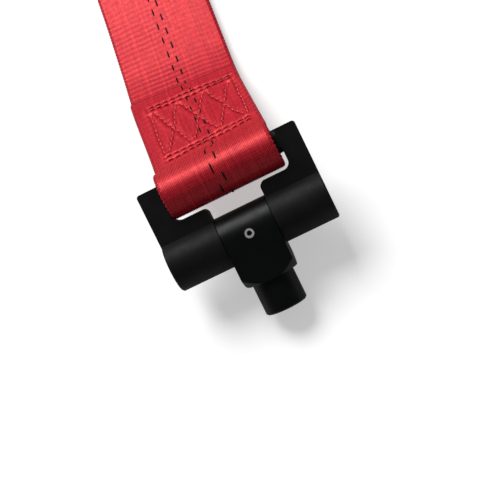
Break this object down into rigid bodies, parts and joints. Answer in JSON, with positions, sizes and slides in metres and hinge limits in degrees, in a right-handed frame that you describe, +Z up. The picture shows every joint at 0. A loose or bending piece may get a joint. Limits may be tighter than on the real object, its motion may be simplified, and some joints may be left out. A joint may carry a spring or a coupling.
{
  "type": "tow strap",
  "caption": "Red webbing tow strap looped on the crossbar of a black metal bracket, with a swivelling block whose threaded stem screws into a tow-eye socket.",
  "frame": {"origin": "on the ground under the middle of the whole part, which rests on its stem end and on the strap's level stretch", "axes": "+X along the hinge pin, +Y along the strap away from the adapter, +Z up"},
  "size_m": [0.07, 0.2763, 0.0481],
  "materials": {
    "bracket_metal": "matte black anodised",
    "block_metal": "satin black oxide",
    "pin_steel": "dark oiled steel",
    "screw_steel": "bright steel",
    "webbing": "ribbed woven polyester webbing",
    "sewing_thread": "bonded red thread",
    "tracer_thread": "black woven tracer"
  },
  "bodies": {
    "bracket": {"bracket": "bracket_metal"},
    "swivel": {"swivel_block": "block_metal", "hinge_pin": "pin_steel", "set_screw": "screw_steel"},
    "strap": {"webbing": "webbing", "box_stitch_rows": "sewing_thread", "box_stitch_sides": "sewing_thread", "box_stitch_crosses": "sewing_thread", "back_stitch_rows": "sewing_thread", "eye_stitch_rows": "sewing_thread", "eye_stitch_crosses": "sewing_thread", "tracer_left": "tracer_thread", "tracer_right": "tracer_thread"}
  },
  "joints": [
    {"name": "block_swivel", "type": "hinge", "parent": "bracket", "child": "swivel", "pos_m": [0, -0.10451, 0.02449], "axis": [1, 0, 0], "range_deg": [-90, 90]},
    {"name": "strap_swing", "type": "hinge", "parent": "bracket", "child": "strap", "pos_m": [0, -0.0807, 0.03824], "axis": [1, 0, 0], "range_deg": [-30, 140]}
  ]
}
